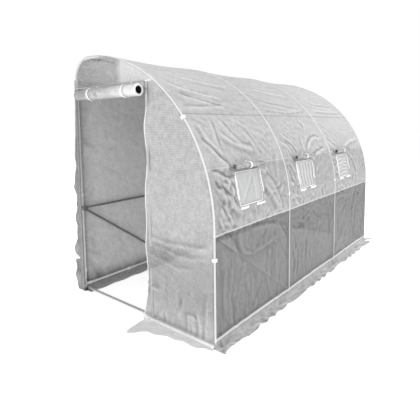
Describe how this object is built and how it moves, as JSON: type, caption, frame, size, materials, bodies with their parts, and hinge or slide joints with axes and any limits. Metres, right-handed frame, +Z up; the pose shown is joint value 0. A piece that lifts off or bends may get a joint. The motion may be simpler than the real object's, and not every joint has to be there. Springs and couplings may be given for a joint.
{
  "type": "lean-to tunnel greenhouse",
  "caption": "Walk-in lean-to tunnel greenhouse: bolted steel tube frame under a loose mesh-film cover, with a rolled-up zipped door and rolled-up screened side windows.",
  "frame": {"origin": "on the ground, at the middle of the whole object with its ground skirt", "axes": "+Z up; +Y from the door end to the rear end; +X from the flat back wall to the curved side"},
  "size_m": [1.6864, 3.29, 2.0515],
  "materials": {
    "galvanised_tube": "galvanised, satin",
    "zinc_slider": "zinc plated",
    "mesh_film": "translucent polyethylene film over a woven grid, creased",
    "insect_mesh": "fine open mesh",
    "white_webbing": "woven, matt"
  },
  "bodies": {
    "frame": {"back_base_rail_1": "galvanised_tube", "back_base_rail_2": "galvanised_tube", "back_base_rail_3": "galvanised_tube", "back_brace_front_bay": "galvanised_tube", "back_brace_rear_bay": "galvanised_tube", "back_mid_rail_1": "galvanised_tube", "back_mid_rail_2": "galvanised_tube", "back_mid_rail_3": "galvanised_tube", "back_wall_cover": "mesh_film", "door_tie_left": "white_webbing", "door_tie_right": "white_webbing", "door_zip_tape_left": "white_webbing", "door_zip_tape_right": "white_webbing", "front_panel": "mesh_film", "front_threshold_rail": "galvanised_tube", "hoop_1_back_post": "galvanised_tube", "hoop_1_roof_tube": "galvanised_tube", "hoop_1_side_tube": "galvanised_tube", "hoop_2_back_post": "galvanised_tube", "hoop_2_roof_tube": "galvanised_tube", "hoop_2_side_tube": "galvanised_tube", "hoop_3_back_post": "galvanised_tube", "hoop_3_roof_tube": "galvanised_tube", "hoop_3_side_tube": "galvanised_tube", "hoop_4_back_post": "galvanised_tube", "hoop_4_roof_tube": "galvanised_tube", "hoop_4_side_tube": "galvanised_tube", "rear_base_rail": "galvanised_tube", "rear_panel": "mesh_film", "roof_cover": "mesh_film", "roof_purlin_1": "mesh_film", "roof_purlin_2": "mesh_film", "roof_purlin_3": "mesh_film", "side_base_rail_1": "galvanised_tube", "side_base_rail_2": "galvanised_tube", "side_base_rail_3": "galvanised_tube", "side_brace_front_bay": "galvanised_tube", "side_brace_rear_bay": "galvanised_tube", "side_mid_rail_1": "galvanised_tube", "side_mid_rail_2": "galvanised_tube", "side_mid_rail_3": "galvanised_tube", "top_rail_1": "galvanised_tube", "top_rail_2": "galvanised_tube", "top_rail_3": "galvanised_tube", "window_screen_1": "insect_mesh", "window_screen_2": "insect_mesh", "window_screen_3": "insect_mesh", "window_tie_1": "white_webbing", "window_tie_2": "white_webbing", "window_tie_3": "white_webbing"},
    "door_sheet": {"door_sheet": "mesh_film"},
    "door_roll": {"door_roll": "mesh_film"},
    "zip_slider_left": {"door_zip_slider_left": "zinc_slider"},
    "zip_slider_right": {"door_zip_slider_right": "zinc_slider"},
    "window_flap_sheet_1": {"window_flap_sheet_1": "mesh_film"},
    "window_flap_roll_1": {"window_flap_roll_1": "mesh_film"},
    "window_flap_sheet_2": {"window_flap_sheet_2": "mesh_film"},
    "window_flap_roll_2": {"window_flap_roll_2": "mesh_film"},
    "window_flap_sheet_3": {"window_flap_sheet_3": "mesh_film"},
    "window_flap_roll_3": {"window_flap_roll_3": "mesh_film"}
  },
  "joints": [
    {"name": "door_lower", "type": "slide", "parent": "frame", "child": "door_sheet", "axis": [0, 0, -1], "range_m": [0, 1.66], "deforming": ["door_sheet", "door_tie_left", "door_tie_right"]},
    {"name": "door_roll_spin", "type": "hinge", "parent": "door_sheet", "child": "door_roll", "pos_m": [-0.24325, -1.569, 1.73], "axis": [1, 0, 0], "range_deg": [0, 2070]},
    {"name": "zip_left_pull", "type": "slide", "parent": "frame", "child": "zip_slider_left", "axis": [0, 0, -1], "range_m": [0, 1.66]},
    {"name": "zip_right_pull", "type": "slide", "parent": "frame", "child": "zip_slider_right", "axis": [0, 0, -1], "range_m": [0, 1.66]},
    {"name": "flap_1_lower", "type": "slide", "parent": "frame", "child": "window_flap_sheet_1", "axis": [0.253, 0, -0.9675], "range_m": [0, 0.33], "deforming": ["window_flap_sheet_1", "window_tie_1"]},
    {"name": "flap_1_roll_spin", "type": "hinge", "parent": "window_flap_sheet_1", "child": "window_flap_roll_1", "pos_m": [0.72561, -1.055, 1.1855], "axis": [0, 1, 0], "range_deg": [0, 947]},
    {"name": "flap_2_lower", "type": "slide", "parent": "frame", "child": "window_flap_sheet_2", "axis": [0.253, 0, -0.9675], "range_m": [0, 0.33], "deforming": ["window_flap_sheet_2", "window_tie_2"]},
    {"name": "flap_2_roll_spin", "type": "hinge", "parent": "window_flap_sheet_2", "child": "window_flap_roll_2", "pos_m": [0.72561, -0.125, 1.1855], "axis": [0, 1, 0], "range_deg": [0, 947]},
    {"name": "flap_3_lower", "type": "slide", "parent": "frame", "child": "window_flap_sheet_3", "axis": [0.253, 0, -0.9675], "range_m": [0, 0.33], "deforming": ["window_flap_sheet_3", "window_tie_3"]},
    {"name": "flap_3_roll_spin", "type": "hinge", "parent": "window_flap_sheet_3", "child": "window_flap_roll_3", "pos_m": [0.72561, 0.805, 1.1855], "axis": [0, 1, 0], "range_deg": [0, 947]}
  ],
  "couplings": [
    {"joint": "door_roll_spin", "follows": "door_lower", "rad_per_m": 21.739},
    {"joint": "flap_1_roll_spin", "follows": "flap_1_lower", "rad_per_m": 50},
    {"joint": "flap_2_roll_spin", "follows": "flap_2_lower", "rad_per_m": 50},
    {"joint": "flap_3_roll_spin", "follows": "flap_3_lower", "rad_per_m": 50}
  ]
}
